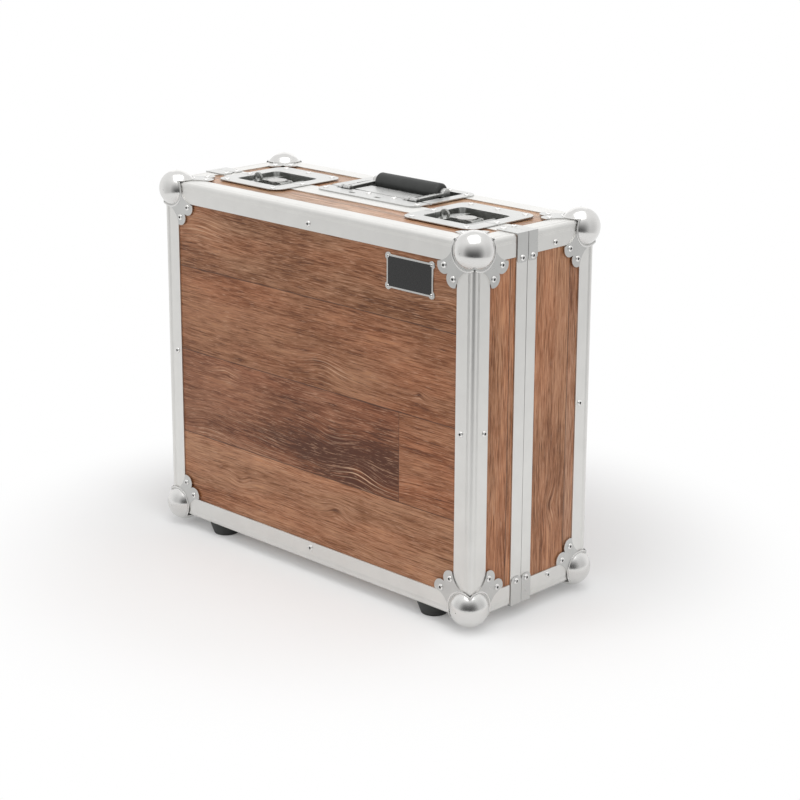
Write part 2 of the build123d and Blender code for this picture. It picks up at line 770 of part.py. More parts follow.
def face_rivets(front, side_y):
    """Heads halfway along the edge angles of a shell's large face."""
    y = front_y if front < 0 else rear_y
    places = [((0, y, high - rivet_from_arris), (0, front, 0)), ((0, y, low + rivet_from_arris), (0, front, 0))]
    return places + both_sides([((side_x - rivet_from_arris, y, mid_z), (0, front, 0)),
                                ((side_x, side_y, mid_z), (1, 0, 0))])


up_face = (0, 0, 1)
depth_rivet_y = rear_y - depth_rivet_from_rear
latch_top = high + flange_t
lid_rivets_on = corner_rivets(-1) + closing_rivets((lid_closing_y + lid_edge) / 2)
lid_rivets_on += face_rivets(-1, front_y + side_rivet_lid)
base_rivets_on = corner_rivets(1) + closing_rivets((base_edge + base_closing_y) / 2)
base_rivets_on += face_rivets(1, rear_y - side_rivet_base)
base_rivets_on += both_sides([((side_x, depth_rivet_y, high - depth_rivet_edge), (1, 0, 0)),
                              ((side_x, depth_rivet_y, low + depth_rivet_edge), (1, 0, 0))])
latch_side = latch_w / 2 - latch_rivet_in
for x in (-latch_x, latch_x):
    lid_row = split_y - latch_front + latch_rivet_in
    base_row = split_y + latch_rear - latch_rivet_in
    for n in (-1, 0, 1):
        base_rivets_on.append(((x + n * latch_rivet_pitch, base_row, latch_top), up_face))
    for n in (-1, 1):
        lid_rivets_on.append(((x + n * latch_rivet_pitch, lid_row, latch_top), up_face))
        base_rivets_on.append(((x + n * latch_side, base_edge + latch_rivet_in, latch_top), up_face))
handle_front = handle_y - handle_d / 2 + handle_rivet_y
handle_rear = handle_y + handle_d / 2 - handle_rivet_in
handle_side = handle_w / 2 - handle_rivet_in
for n in (0, 1):
    base_rivets_on.append(((handle_rivet_x + n * handle_rivet_pitch, handle_front, latch_top), up_face))
for n in (-1, 0, 1):
    base_rivets_on.append(((n * handle_rivet_pitch, handle_rear, latch_top), up_face))
for n in (-1, 1):
    base_rivets_on.append(((n * handle_side, handle_y - handle_rivet_pitch, latch_top), up_face))
    base_rivets_on.append(((n * handle_side, handle_y + handle_rivet_pitch, latch_top), up_face))

plate_rivets_on = []
for n in (-1, 1):
    for m in (-1, 1):
        spot = (plate_x + n * (plate_w / 2 - plate_lobe_r), plate_y - plate_t,
                plate_z + m * (plate_h / 2 - plate_lobe_r))
        plate_rivets_on.append((spot, (0, -1, 0)))

for shell, sign, places in (("lid", -1, lid_rivets_on), ("base", 1, base_rivets_on)):
    with BuildPart() as rivets:
        domes(rivet_r, rivet_h, places)
        if shell == "lid":
            domes(plate_rivet_r, plate_rivet_h, plate_rivets_on)
    keep(rivets, shell + "_rivets")
    with BuildPart() as foot_screws:
        for x in (-foot_x, foot_x):
            with Locations((x, sign * foot_y, foot_counter_h - screw_head_h / 2)):
                Cylinder(foot_counter_r - screw_clear, screw_head_h)
            with Locations((x, sign * foot_y, (foot_counter_h + low) / 2)):
                Cylinder(foot_bore_r - screw_clear, low - foot_counter_h)
    keep(foot_screws, shell + "_foot_screws")
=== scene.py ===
from math import cos, pi, radians, sin
import json

import bmesh
import bpy
from mathutils import Matrix, Vector

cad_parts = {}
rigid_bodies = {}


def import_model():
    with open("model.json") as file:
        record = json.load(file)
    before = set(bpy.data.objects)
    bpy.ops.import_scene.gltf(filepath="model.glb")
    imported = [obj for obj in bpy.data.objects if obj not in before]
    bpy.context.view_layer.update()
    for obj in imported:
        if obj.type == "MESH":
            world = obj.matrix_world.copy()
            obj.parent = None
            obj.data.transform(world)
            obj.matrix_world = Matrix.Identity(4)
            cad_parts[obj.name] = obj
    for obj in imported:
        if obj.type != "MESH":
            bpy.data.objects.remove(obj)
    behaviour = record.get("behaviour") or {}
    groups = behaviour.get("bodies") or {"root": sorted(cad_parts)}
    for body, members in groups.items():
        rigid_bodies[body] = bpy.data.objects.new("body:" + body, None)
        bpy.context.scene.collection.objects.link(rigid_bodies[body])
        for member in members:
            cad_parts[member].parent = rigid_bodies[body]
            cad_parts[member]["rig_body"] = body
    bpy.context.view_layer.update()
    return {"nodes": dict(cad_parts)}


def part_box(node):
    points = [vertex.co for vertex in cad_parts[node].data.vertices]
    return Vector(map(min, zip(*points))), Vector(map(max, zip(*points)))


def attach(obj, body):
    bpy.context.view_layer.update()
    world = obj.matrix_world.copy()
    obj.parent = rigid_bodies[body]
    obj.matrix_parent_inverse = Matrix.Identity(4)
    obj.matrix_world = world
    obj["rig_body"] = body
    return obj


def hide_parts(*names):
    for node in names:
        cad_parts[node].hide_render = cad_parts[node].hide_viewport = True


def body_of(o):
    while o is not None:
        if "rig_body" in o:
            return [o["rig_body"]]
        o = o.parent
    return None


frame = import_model()
scene = bpy.context.scene
mm = 0.001

# The case's faces, read from the frame
left_x, front_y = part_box("lid_angle_left")[0].x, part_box("lid_angle_left")[0].y
top_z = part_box("lid_angle_top")[1].z
right_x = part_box("lid_angle_right")[1].x
rear_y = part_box("base_angle_top")[1].y
bottom_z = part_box("lid_angle_bottom")[0].z
middle_z = (top_z + bottom_z) / 2


# Materials

def to_linear(code):
    """A colour written as sRGB hex, in the linear values that the shader takes."""
    values = [int(code[n:n + 2], 16) / 255 for n in (1, 3, 5)]
    return tuple(v / 12.92 if v <= 0.04045 else ((v + 0.055) / 1.055) ** 2.4 for v in values) + (1.0,)


def node(tree, kind, inputs=(), out=0, stops=(), **settings):
    """Add a shader node with its settings, set or link its inputs, and give one of its outputs.

    inputs are values or sockets, in order or by name or number, and stops are the points of a
    colour ramp as (place, hex colour).
    """
    made = tree.nodes.new("ShaderNode" + kind)
    for key, value in settings.items():
        setattr(made.color_ramp if key == "interpolation" else made, key, value)
    if stops:
        points = made.color_ramp.elements
        while len(points) < len(stops):
            points.new(0.5)
        for point, (place, code) in zip(points, stops):
            point.position = place
            point.color = to_linear(code)
    for key, value in inputs.items() if isinstance(inputs, dict) else enumerate(inputs):
        if isinstance(value, bpy.types.NodeSocket):
            tree.links.new(value, made.inputs[key])
        else:
            made.inputs[key].default_value = value
    return made.outputs[out] if made.outputs else made


def material(name, colour, **values):
    """A material with one principled shader, whose uniform values are set on its own sockets."""
    made = bpy.data.materials.new(name)
    made.use_nodes = True
    shader = made.node_tree.nodes["Principled BSDF"]
    shader.inputs["Base Color"].default_value = to_linear(colour)
    for key, value in values.items():
        shader.inputs[key.replace("_", " ")].default_value = value
    made.diffuse_color = to_linear(colour)
    return made, made.node_tree, shader


def wood_laminate(name, along, across, boards, seams, butts=(), patches=(), knots=()):
    """Wood-grain laminate: a printed film of weathered oak boards under a thin satin coat.

    along and across name the axis of the grain and the axis over the boards, each with a
    sign and an origin in metres. boards are the boards' mean colours and seams their edges
    over the grain in mm. butts are (board, place): the board past a cut gets the last colour.
    patches are soft (along, across, length, width, shift, board) areas, and knots are (along,
    across, radius, bend, core, scratches), all in mm.
    The eye gets boards of different brown, short fibres, dark pores and light scratches.
    """
    made, tree, shader = material(name, boards[0], Roughness=0.33, Specular_IOR_Level=0.26)
    axes = node(tree, "SeparateXYZ", {"Vector": node(tree, "TexCoord", out="Object")}).node.outputs

    def total(values, operation="ADD"):
        """All the values of a list joined by one operation."""
        result = values[0]
        for value in values[1:]:
            result = node(tree, "Math", (result, value), operation=operation)
        return result

    def measure(axis):
        """The way along an axis from its origin, in mm."""
        letter, sign, origin = axis
        metres = node(tree, "Math", (axes[letter], origin), operation="SUBTRACT")
        return node(tree, "Math", (metres, sign / mm), operation="MULTIPLY")

    u = measure(along)
    v = measure(across)
    # The board's number, counted from the axis's origin
    board = total([node(tree, "Math", (v, seam), operation="GREATER_THAN") for seam in seams])
    for index, place in butts:
        past = total((node(tree, "Math", (board, index, 0.1), operation="COMPARE"),
                      node(tree, "Math", (u, place), operation="GREATER_THAN")), "MULTIPLY")
        board = node(tree, "Math", (past, len(boards) - 1 - index, board), operation="MULTIPLY_ADD")
    # How far the noise is moved from one board to the next, so that no two are alike
    board_shift = 7.31

    def field(length, width, seed, detail, rough=0.5, over=None, distort=0.0):
        """Noise in spots of one length along the grain and one width across it, in mm."""
        place = node(tree, "CombineXYZ", {
            "X": node(tree, "Math", (u, length), operation="DIVIDE"),
            "Y": node(tree, "Math", (over or v, width), operation="DIVIDE"),
            "Z": node(tree, "Math", (board, board_shift, seed), operation="MULTIPLY_ADD")})
        return node(tree, "TexNoise", {"Vector": place, "Scale": 1.0, "Detail": detail,
                                       "Roughness": rough, "Distortion": distort})

    def blob(at_u, at_v, length, width, edge):
        """A soft ellipse, 1 at its middle and edge at its rim."""
        from_u = node(tree, "Math", (u, at_u), operation="SUBTRACT")
        from_v = node(tree, "Math", (v, at_v), operation="SUBTRACT")
        part_u = node(tree, "Math", (from_u, length), operation="DIVIDE")
        part_v = node(tree, "Math", (from_v, width), operation="DIVIDE")
        square_v = node(tree, "Math", (part_v, part_v), operation="MULTIPLY")
        square = node(tree, "Math", (part_u, part_u, square_v), operation="MULTIPLY_ADD")
        return node(tree, "Math", (edge, square), operation="POWER")

    # The growth rings' height: the place across the board, bent by slow waves and by knots
    ring_wave = 14.0
    rings = node(tree, "Math", (field(300, 80, 0.0, 2), ring_wave, v), operation="MULTIPLY_ADD")
    for at_u, at_v, radius, bend, core, scratches in knots:
        near = blob(at_u, at_v, radius * 1.6, radius, 0.37)
        rings = node(tree, "Math", (near, bend, rings), operation="MULTIPLY_ADD")
    # Fibres are drawn about twice as wide as oak's, so that they show
    broad = field(200, 11, 3.1, 3, 0.55, rings, 0.1)
    streak = field(80, 3.0, 5.7, 3, 0.6, rings)
    fibre = field(26, 1.3, 8.2, 3, 0.62, rings)
    cloud = field(110, 45, 11.9, 3, 0.55)
    hue = field(150, 34, 15.3, 2, 0.5)

    parts = []
    for source, share in ((broad, 0.5), (streak, 0.7), (fibre, 1.7), (cloud, 0.65)):
        swing = node(tree, "Math", (source, 0.5), operation="SUBTRACT")
        parts.append(node(tree, "Math", (swing, share), operation="MULTIPLY"))
    for at_u, at_v, length, width, shift, on in patches:
        own = node(tree, "Math", (board, on, 0.1), operation="COMPARE")
        parts.append(total((blob(at_u, at_v, length, width, 0.3), own, shift), "MULTIPLY"))
    halos = []
    for at_u, at_v, radius, bend, core, scratches in knots:
        halo = blob(at_u + radius * 0.3, at_v + radius * 0.4, radius * 2.2, radius * 1.1, 0.3)
        heart = blob(at_u, at_v, radius * 0.7, radius * 0.36, 0.2)
        halos.append(node(tree, "Math", (halo, scratches), operation="MULTIPLY"))
        parts.append(node(tree, "Math", (heart, core), operation="MULTIPLY"))
    # Dark fibres are redder than the board, and light ones greyer
    light = node(tree, "ValToRGB", {"Fac": total(parts + [0.5])}, stops=(
        (0.1, "#7A6A5C"), (0.34, "#A49A8C"), (0.5, "#BEBEBE"), (0.66, "#D2DCEA"), (0.9, "#E9F7FF")))
    count = len(boards)
    band = node(tree, "Math", (total((board, 0.25)), count), operation="DIVIDE")
    tone = node(tree, "ValToRGB", {"Fac": band}, interpolation="CONSTANT",
                stops=[(n / count, code) for n, code in enumerate(boards)])
    # Weathering: the film's brown goes to grey or to red over a few centimetres
    turn = node(tree, "MapRange", {"Value": hue, "From Min": 0.36, "From Max": 0.64})
    tint = node(tree, "ValToRGB", {"Fac": turn}, stops=(
        (0.0, "#DDDDDB"), (0.5, "#E0DCD9"), (1.0, "#E6DCD5")))
    # Both layers darken the boards, and the last one brings them back to their own tone
    lift = (2.25, 2.25, 2.25, 1.0)
    colour = tone
    for layer in (light, tint, lift):
        colour = node(tree, "Mix", {0: 1.0, 6: colour, 7: layer}, out=2, data_type="RGBA",
                      blend_type="MULTIPLY")

    # Raised fibres catch the light as short pale dashes
    raised = field(17, 1.1, 19.7, 2, 0.6, rings)
    dash = node(tree, "MapRange", {"Value": raised, "From Min": 0.57, "From Max": 0.68, "To Max": 0.5})
    pore = node(tree, "MapRange", {"Value": fibre, "From Min": 0.37, "From Max": 0.27, "To Max": 0.45})
    covers = [(dash, "#B78F74"), (pore, "#3E281E")]
    # Light wavy lines round a knot, this many mm apart, each broken where the broad bands are dark
    line_gap = 5.0
    if halos:
        wavy = node(tree, "Math", (streak, 5.0, rings), operation="MULTIPLY_ADD")
        phase = node(tree, "Math", (wavy, 2 * pi / line_gap), operation="MULTIPLY")
        crest = node(tree, "Math", (phase,), operation="SINE")
        scratch = total((node(tree, "MapRange", {"Value": crest, "From Min": 0.55, "From Max": 0.95}),
                         node(tree, "MapRange", {"Value": broad, "From Min": 0.40, "From Max": 0.56}),
                         total(halos, "MAXIMUM")), "MULTIPLY")
        covers.append((scratch, "#C8A486"))
    # Board edges about 1 mm wide, a little ragged, and the butt joints across a board
    waver = node(tree, "Math", (streak, 0.5), operation="SUBTRACT")
    ragged = node(tree, "Math", (waver, 1.6, v), operation="MULTIPLY_ADD")
    edges = [node(tree, "Math", (ragged, seam, 0.65), operation="COMPARE") for seam in seams]
    for index, place in butts:
        lows, highs = ([-1e3] + list(seams))[index], (list(seams) + [1e3])[index]
        edges.append(total((node(tree, "Math", (v, lows), operation="GREATER_THAN"),
                            node(tree, "Math", (v, highs), operation="LESS_THAN"),
                            node(tree, "Math", (u, place, 0.4), operation="COMPARE")), "MULTIPLY"))
    gap = total(edges, "MAXIMUM")
    covers.append((node(tree, "Math", (gap, 0.7), operation="MULTIPLY"), "#33211A"))
    for cover, code in covers:
        colour = node(tree, "Mix", {0: cover, 6: colour, 7: to_linear(code)}, out=2, data_type="RGBA",
                      blend_type="MIX")
    tree.links.new(colour, shader.inputs["Base Color"])
    satin = node(tree, "MapRange", {"Value": streak, "From Min": 0.3, "From Max": 0.7,
                                    "To Min": 0.38, "To Max": 0.29})
    tree.links.new(satin, shader.inputs["Roughness"])
    relief = node(tree, "Math", (fibre, gap), operation="SUBTRACT")
    bump = node(tree, "Bump", {"Height": relief, "Strength": 0.35, "Distance": 0.1 * mm})
    tree.links.new(bump, shader.inputs["Normal"])
    return made


front_laminate = wood_laminate(
    "laminate_front", ("X", 1, left_x), ("Z", -1, top_z),
    ("#885E42", "#895B3E", "#7E5036", "#936547", "#8E5D3F"), (105.3, 213.1, 321.0), ((2, 406.5),),
    ((335, 290, 125, 34, -0.66, 2), (90, 160, 60, 36, 0.08, 1), (190, 296, 90, 14, -0.2, 2),
     (385, 250, 50, 30, -0.16, 2), (70, 345, 80, 30, 0.2, 3), (300, 330, 180, 14, 0.2, 3),
     (330, 200, 70, 22, 0.10, 1), (420, 92, 90, 16, -0.22, 0), (230, 60, 90, 40, -0.12, 0),
     (450, 400, 90, 30, 0.12, 3), (120, 240, 90, 20, 0.06, 2)),
    ((278, 182, 20, 8, -0.2, 0.7), (300, 268, 20, -7, -0.5, 0.35), (338, 300, 20, 7, 0.35, 0.9),
     (303, 358, 12, 7, -0.35, 0.5), (131, 364, 11, -7, -0.3, 0.45), (107, 228, 9, 4, 0.3, 0.7),
     (438, 185, 7, 4, -0.6, 0.2), (75, 300, 24, 7, -0.1, 0.5), (60, 40, 28, 7, 0.1, 0.5),
     (480, 70, 18, 6, 0.1, 0.4), (150, 300, 30, 3, 0.0, 0.45), (390, 300, 24, -4, -0.1, 0.4)))
side_laminate = wood_laminate(
    "laminate_side", ("Z", -1, top_z), ("Y", 1, front_y),
    ("#996949", "#9B6C4D", "#9D7358", "#875F46"), (60.0, 161.7), ((2, 387.7),),
    ((120, 110, 90, 30, 0.08, 1), (300, 130, 80, 26, -0.08, 1)), ((330, 135, 12, 8, -0.35, 0.5),))
# The top's boards are painted lighter than the front's and the sides', as painted sheen of the light on the
# top; the bottom panels take the same colours
top_laminate_painted_light = wood_laminate(
    "laminate_top_painted_light", ("X", 1, left_x), ("Y", 1, front_y),
    ("#BC9270", "#B88E6E", "#BD9675"), (54.0, 128.0), (), ((260, 60, 200, 20, 0.05, 1),), ())


def brushed_metal(name, colour, roughness, grain, scratch, mottle, relief=0.0):
    """Metal with faint marks: grain is the stretch in mm on each axis, scratch how far the
    marks change the roughness, mottle how far the tone changes over tens of mm, and relief
    how strongly the marks catch the light."""
    made, tree, shader = material(name, colour, Metallic=1.0, Roughness=roughness)
    place = node(tree, "TexCoord", out="Object")
    lines = node(tree, "Mapping", {"Vector": place, "Scale": tuple(1 / (g * mm) for g in grain)})
    marks = node(tree, "TexNoise", {"Vector": lines, "Scale": 1.0, "Detail": 3.0, "Roughness": 0.6})
    patches = node(tree, "TexNoise", {"Vector": place, "Scale": 1 / (24 * mm), "Detail": 3.0,
                                      "Roughness": 0.6})
    worn = node(tree, "MapRange", {"Value": patches, "From Min": 0.3, "From Max": 0.7,
                                   "To Min": 1.0 - mottle, "To Max": 1.0})
    grey = node(tree, "CombineColor", {"Red": worn, "Green": worn, "Blue": worn})
    tone = node(tree, "Mix", {0: 1.0, 6: to_linear(colour), 7: grey}, out=2, data_type="RGBA",
                blend_type="MULTIPLY")
    tree.links.new(tone, shader.inputs["Base Color"])
    rough = node(tree, "MapRange", {"Value": marks, "From Min": 0.25, "From Max": 0.75,
                                    "To Min": roughness - scratch, "To Max": roughness + scratch})
    tree.links.new(rough, shader.inputs["Roughness"])
    if relief:
        bump = node(tree, "Bump", {"Height": marks, "Strength": relief, "Distance": 0.02 * mm})
        tree.links.new(bump, shader.inputs["Normal"])
    return made


# Satin anodised aluminium, extruded: a pale, even metal with die lines along its length
aluminium_x = brushed_metal("anodised_aluminium_x", "#DFDEDB", 0.38, (60, 0.7, 0.7), 0.05, 0.05, 0.12)
aluminium_y = brushed_metal("anodised_aluminium_y", "#DFDEDB", 0.38, (0.7, 60, 0.7), 0.05, 0.05, 0.12)
aluminium_z = brushed_metal("anodised_aluminium_z", "#DFDEDB", 0.38, (0.7, 0.7, 60), 0.05, 0.05, 0.12)
# Polished zinc-plated steel, deep drawn: near mirror, with a slight cloudiness
ball_steel = brushed_metal("polished_zinc_steel", "#DDDCDA", 0.19, (6, 6, 6), 0.03, 0.06)
# The same steel on the plates round a ball, where the press leaves it duller
plate_steel = brushed_metal("pressed_zinc_steel", "#C8C8C6", 0.30, (6, 6, 6), 0.04, 0.10)
# Bright zinc-plated steel, pressed: a softer gleam than the balls
dish_steel = brushed_metal("bright_zinc_steel", "#C9C9C7", 0.30, (6, 6, 6), 0.04, 0.06)
# The same steel inside a pressed dish, a little rougher, and painted darker and patchier as painted shade
# in the hollow
recess_steel_painted_shade = brushed_metal("zinc_steel_painted_recess_shade", "#B6B7B4", 0.34, (5, 5, 5), 0.05, 0.16)
# The latch's hub and its folding wings: the same steel, painted darker as the shade and dark reflections in
# the dish they sit in, and clouded by handling
hub_steel_painted_shade = brushed_metal("zinc_steel_hub_painted_shade", "#B4B3B0", 0.28, (3, 3, 3), 0.05, 0.10)
wing_steel_painted_shade = brushed_metal("zinc_steel_wing_painted_shade", "#A9AAA7", 0.24, (8, 8, 8), 0.05, 0.22)
# Rivet heads: bright zinc-plated steel, pale beside the plates
rivet_steel = brushed_metal("bright_rivet_steel", "#F0EFED", 0.34, (2, 2, 2), 0.06, 0.05)
# Plain steel pins and screws: darker, with an oily dullness
pin_steel = brushed_metal("plain_steel_pin", "#8F8F8E", 0.34, (3, 3, 3), 0.06, 0.10)


def rubber(name, colour, roughness, grit, depth, dust):
    """Moulded rubber: matt, with a fine grit and a little dust in it."""
    made, tree, shader = material(name, colour, Roughness=roughness, Specular_IOR_Level=0.35)
    place = node(tree, "TexCoord", out="Object")
    grains = node(tree, "TexNoise", {"Vector": place, "Scale": 1 / (grit * mm), "Detail": 3.0})
    patches = node(tree, "TexNoise", {"Vector": place, "Scale": 1 / (14 * mm), "Detail": 2.0})
    dusty = node(tree, "MapRange", {"Value": patches, "From Min": 0.35, "From Max": 0.75, "To Max": 0.5})
    tone = node(tree, "Mix", {0: dusty, 6: to_linear(colour), 7: to_linear(dust)}, out=2,
                data_type="RGBA", blend_type="MIX")
    tree.links.new(tone, shader.inputs["Base Color"])
    bump = node(tree, "Bump", {"Height": grains, "Strength": 0.5, "Distance": depth * mm})
    tree.links.new(bump, shader.inputs["Normal"])
    return made


foot_rubber = rubber("moulded_foot_rubber", "#2E2F2E", 0.62, 0.8, 0.1, "#3C3C3B")
grip_rubber = rubber("moulded_grip_rubber", "#303130", 0.50, 1.1, 0.15, "#3B3C3B")
# Open-cell polyether foam: dark grey, dull, with cells of about 1 mm, each painted darker towards its
# middle as the shade in the cell's hollow
foam_cells, tree, shader = material("open_cell_foam", "#3A3B3D", Roughness=0.95, Specular_IOR_Level=0.1)
place = node(tree, "TexCoord", out="Object")
cells = node(tree, "TexVoronoi", {"Vector": place, "Scale": 1 / (1.4 * mm)}, out="Distance")
tone = node(tree, "ValToRGB", {"Fac": cells}, stops=(
    (0.0, "#26272A"), (0.55, "#3E3F42"), (1.0, "#55565A")))
tree.links.new(tone, shader.inputs["Base Color"])
tree.links.new(node(tree, "Bump", {"Height": cells, "Strength": 0.6, "Distance": 0.5 * mm}),
               shader.inputs["Normal"])
# Black stove enamel on the blank name plate: glossy, with slight orange peel
enamel, tree, shader = material("black_enamel", "#151515", Roughness=0.28)
place = node(tree, "TexCoord", out="Object")
peel = node(tree, "TexNoise", {"Vector": place, "Scale": 1 / (2.5 * mm), "Detail": 2.0})
tree.links.new(node(tree, "Bump", {"Height": peel, "Strength": 0.15, "Distance": 0.05 * mm}),
               shader.inputs["Normal"])
tree.links.new(node(tree, "MapRange", {"Value": peel, "From Min": 0.3, "From Max": 0.7,
                                       "To Min": 0.22, "To Max": 0.34}), shader.inputs["Roughness"])
# Painted shade: a flat dark disc stands for the shaded hole of a pop rivet, where the mandrel broke off, a
# little mottled
bore_painted_shade, tree, shader = material("rivet_bore_painted_shade", "#1C1C1B", Roughness=0.8)
place = node(tree, "TexCoord", out="Object")
bore_mottle = node(tree, "TexNoise", {"Vector": place, "Scale": 1 / (1.0 * mm), "Detail": 2.0})
tone = node(tree, "ValToRGB", {"Fac": bore_mottle}, stops=((0.3, "#141413"), (0.7, "#282826")))
tree.links.new(tone, shader.inputs["Base Color"])


# Pieces

body_of_node = {name: body_of(obj)[0] for name, obj in frame["nodes"].items()}


def mesh_object(name, bm, materials):
    """An object of a bmesh, at the origin."""
    mesh = bpy.data.meshes.new(name)
    bm.to_mesh(mesh)
    bm.free()
    for item in materials:
        mesh.materials.append(item)
    made = bpy.data.objects.new(name, mesh)
    scene.collection.objects.link(made)
    return made


def piece(name, bm, materials, body, smooth=True):
    """Make an object of a bmesh and let it ride on a body."""
    made = mesh_object(name, bm, materials)
    for polygon in made.data.polygons:
        polygon.use_smooth = smooth
    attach(made, body)
    return made


def merged(name, flat=True):
    """A bmesh copy of a CAD node's mesh with its loose triangles joined, into flat faces if asked."""
    bm = bmesh.new()
    bm.from_mesh(frame["nodes"][name].data)
    bmesh.ops.remove_doubles(bm, verts=bm.verts, dist=2e-6)
    bmesh.ops.dissolve_degenerate(bm, edges=bm.edges, dist=1e-6)
    if flat:
        bmesh.ops.dissolve_limit(bm, angle_limit=radians(0.5), verts=bm.verts, edges=bm.edges)
    return bm


def rounded(bm, geom, width, segments=2, affect="EDGES"):
    """Round edges or corners off."""
    bmesh.ops.bevel(bm, geom=geom, offset=width, offset_type="OFFSET", segments=segments, profile=0.5,
                    affect=affect, clamp_overlap=True, material=-1)


def drawn_out(bm, extrusion, way):
    """Move the new end of an extrusion."""
    bmesh.ops.translate(bm, verts=[g for g in extrusion["geom"] if isinstance(g, bmesh.types.BMVert)],
                        vec=way)


def squareness(polygon):
    """How near a face is to lying along one of the three planes, up to 1."""
    return max(abs(part) for part in polygon.normal)


square_face, plate_face = 0.99999, 0.9995
sharp_edge, crease = radians(32), radians(38)


def flat_faces(made):
    """Shade the level and upright faces flat, so that the rounds beside them don't tilt them."""
    for polygon in made.data.polygons:
        if squareness(polygon) > square_face:
            polygon.use_smooth = False


def softened(name, finish, width):
    """Replace a hard-edged CAD node by a copy with a small round, width mm wide, on every sharp edge."""
    bm = merged(name)
    edges = [e for e in bm.edges if len(e.link_faces) == 2 and e.calc_face_angle(0.0) > sharp_edge]
    rounded(bm, edges, width * mm)
    bmesh.ops.triangulate(bm, faces=[f for f in bm.faces if len(f.verts) > 4])
    made = piece("soft_" + name, bm, [finish], body_of_node[name])
    made.data.set_sharp_from_angle(angle=crease)
    flat_faces(made)
    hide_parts(name)
    return made


def dress(name, finish):
    """Give a CAD node its material."""
    data = frame["nodes"][name].data
    data.materials.clear()
    data.materials.append(finish)
    for polygon in data.polygons:
        polygon.material_index = 0


def recess(made):
    """Give the sunk inside of a dish a darker steel, as painted shade."""
    made.data.materials.append(recess_steel_painted_shade)
    sunk_below = top_z - 0.2 * mm
    for polygon in made.data.polygons:
        polygon.material_index = 1 if polygon.center.z < sunk_below else 0


def plates(made):
    """Give the flat plates of a ball corner their duller finish."""
    made.data.materials.append(plate_steel)
    for polygon in made.data.polygons:
        polygon.material_index = 1 if squareness(polygon) > plate_face else 0


for shell in ("lid", "base"):
    for side in ("left", "right"):
        dress(shell + "_" + side + "_panel", side_laminate)
    for side in ("top", "bottom"):
        dress(shell + "_" + side + "_panel", top_laminate_painted_light)
dress("lid_front_panel", front_laminate)
dress("base_back_panel", front_laminate)

for shell in ("lid", "base"):
    softened(shell + "_closing_frame", aluminium_z, 0.3)
    softened(shell + "_closing_corners", dish_steel, 0.35)
    softened(shell + "_feet", foot_rubber, 0.8)
    softened(shell + "_foot_screws", pin_steel, 0.3)
    softened(shell + "_hinge_leaves", dish_steel, 0.25)
    softened(shell + "_foam", foam_cells, 1.5)
    for level in ("top", "bottom"):
        for side in ("left", "right"):
            plates(softened(shell + "_ball_corner_" + level + "_" + side, ball_steel, 0.3))
for latch in ("latch_l", "latch_r"):
    recess(softened(latch + "_base_dish", dish_steel, 0.45))
    recess(softened(latch + "_lid_dish", dish_steel, 0.45))
    softened(latch + "_rotor", hub_steel_painted_shade, 0.4)
    softened(latch + "_hook", dish_steel, 0.3)
    softened(latch + "_wing_left", wing_steel_painted_shade, 0.3)
    softened(latch + "_wing_right", wing_steel_painted_shade, 0.3)
recess(softened("handle_dish", dish_steel, 0.45))
softened("handle_bail", dish_steel, 0.4)
softened("handle_grip", grip_rubber, 0.3)
dress("handle_pins", pin_steel)
dress("hinge_pins", pin_steel)


# A pressed bead round each ball, on the three plates of its corner

ball_inset = 11.3 * mm
plate_out = 1.2 * mm
bead_r = 21.2 * mm
bead_half = 1.1 * mm
bead_high = 0.65 * mm
bead_profile = [(bead_half * cos(radians(t)), bead_high * sin(radians(t))) for t in range(0, 181, 30)]
bead_from, bead_sweep = radians(-34), radians(158)
for shell, y, front in (("lid", front_y, -1), ("base", rear_y, 1)):
    for side, x, right in (("left", left_x, -1), ("right", right_x, 1)):
        for level, z, up in (("top", top_z, 1), ("bottom", bottom_z, -1)):
            bm = bmesh.new()
            corner = Vector((x, y, z))
            outward = (Vector((right, 0, 0)), Vector((0, front, 0)), Vector((0, 0, up)))
            for n in range(3):
                face, a, b = outward[n], -outward[(n + 1) % 3], -outward[(n + 2) % 3]
                centre = corner + (a + b) * ball_inset + face * plate_out
                start = a * cos(bead_from) + b * sin(bead_from)
                verts = [bm.verts.new(centre + start * (bead_r + w) + face * h) for w, h in bead_profile]
                line = [bm.edges.new(pair) for pair in zip(verts, verts[1:])]
                bmesh.ops.spin(bm, geom=verts + line, cent=centre, axis=a.cross(b), angle=bead_sweep,
                               steps=32, use_merge=False)
            bmesh.ops.holes_fill(bm, edges=[e for e in bm.edges if len(e.link_faces) == 1], sides=0)
            bmesh.ops.recalc_face_normals(bm, faces=bm.faces)
            piece("ball_bead_" + shell + "_" + level + "_" + side, bm, [ball_steel], shell)


# Edge angles, drawn again with the fine flutes near the arris that the die leaves

leg = 25.4 * mm
wall = 1.6 * mm
arris = 4.0 * mm
flutes = (6.2, 7.4, 8.6)
flute_deep = 0.22 * mm
flute_half = 0.35 * mm


def outline():
    """The profile of an edge angle, from its arris at the origin, legs along +a and +b."""
    leg_line = [(leg, wall), (leg, 0.0)]
    for at in sorted(flutes, reverse=True):
        a = at * mm
        leg_line += [(a + flute_half, 0.0), (a, flute_deep), (a - flute_half, 0.0)]
    arc = [(arris - arris * sin(radians(t)), arris - arris * cos(radians(t))) for t in range(0, 91, 10)]
    other = [(b, a) for a, b in reversed(leg_line)]
    return leg_line + arc + other + [(wall, wall)]


def angle_bar(bm, corner, u, v, along, length):
    """One bar of the profile, centred on a point of its arris."""
    u, v, along = Vector(u), Vector(v), Vector(along)
    start = Vector(corner) - along * length / 2
    verts = [bm.verts.new(start + u * a + v * b) for a, b in outline()]
    face = bm.faces.new(verts)
    drawn_out(bm, bmesh.ops.extrude_face_region(bm, geom=[face], use_keep_orig=True), along * length)


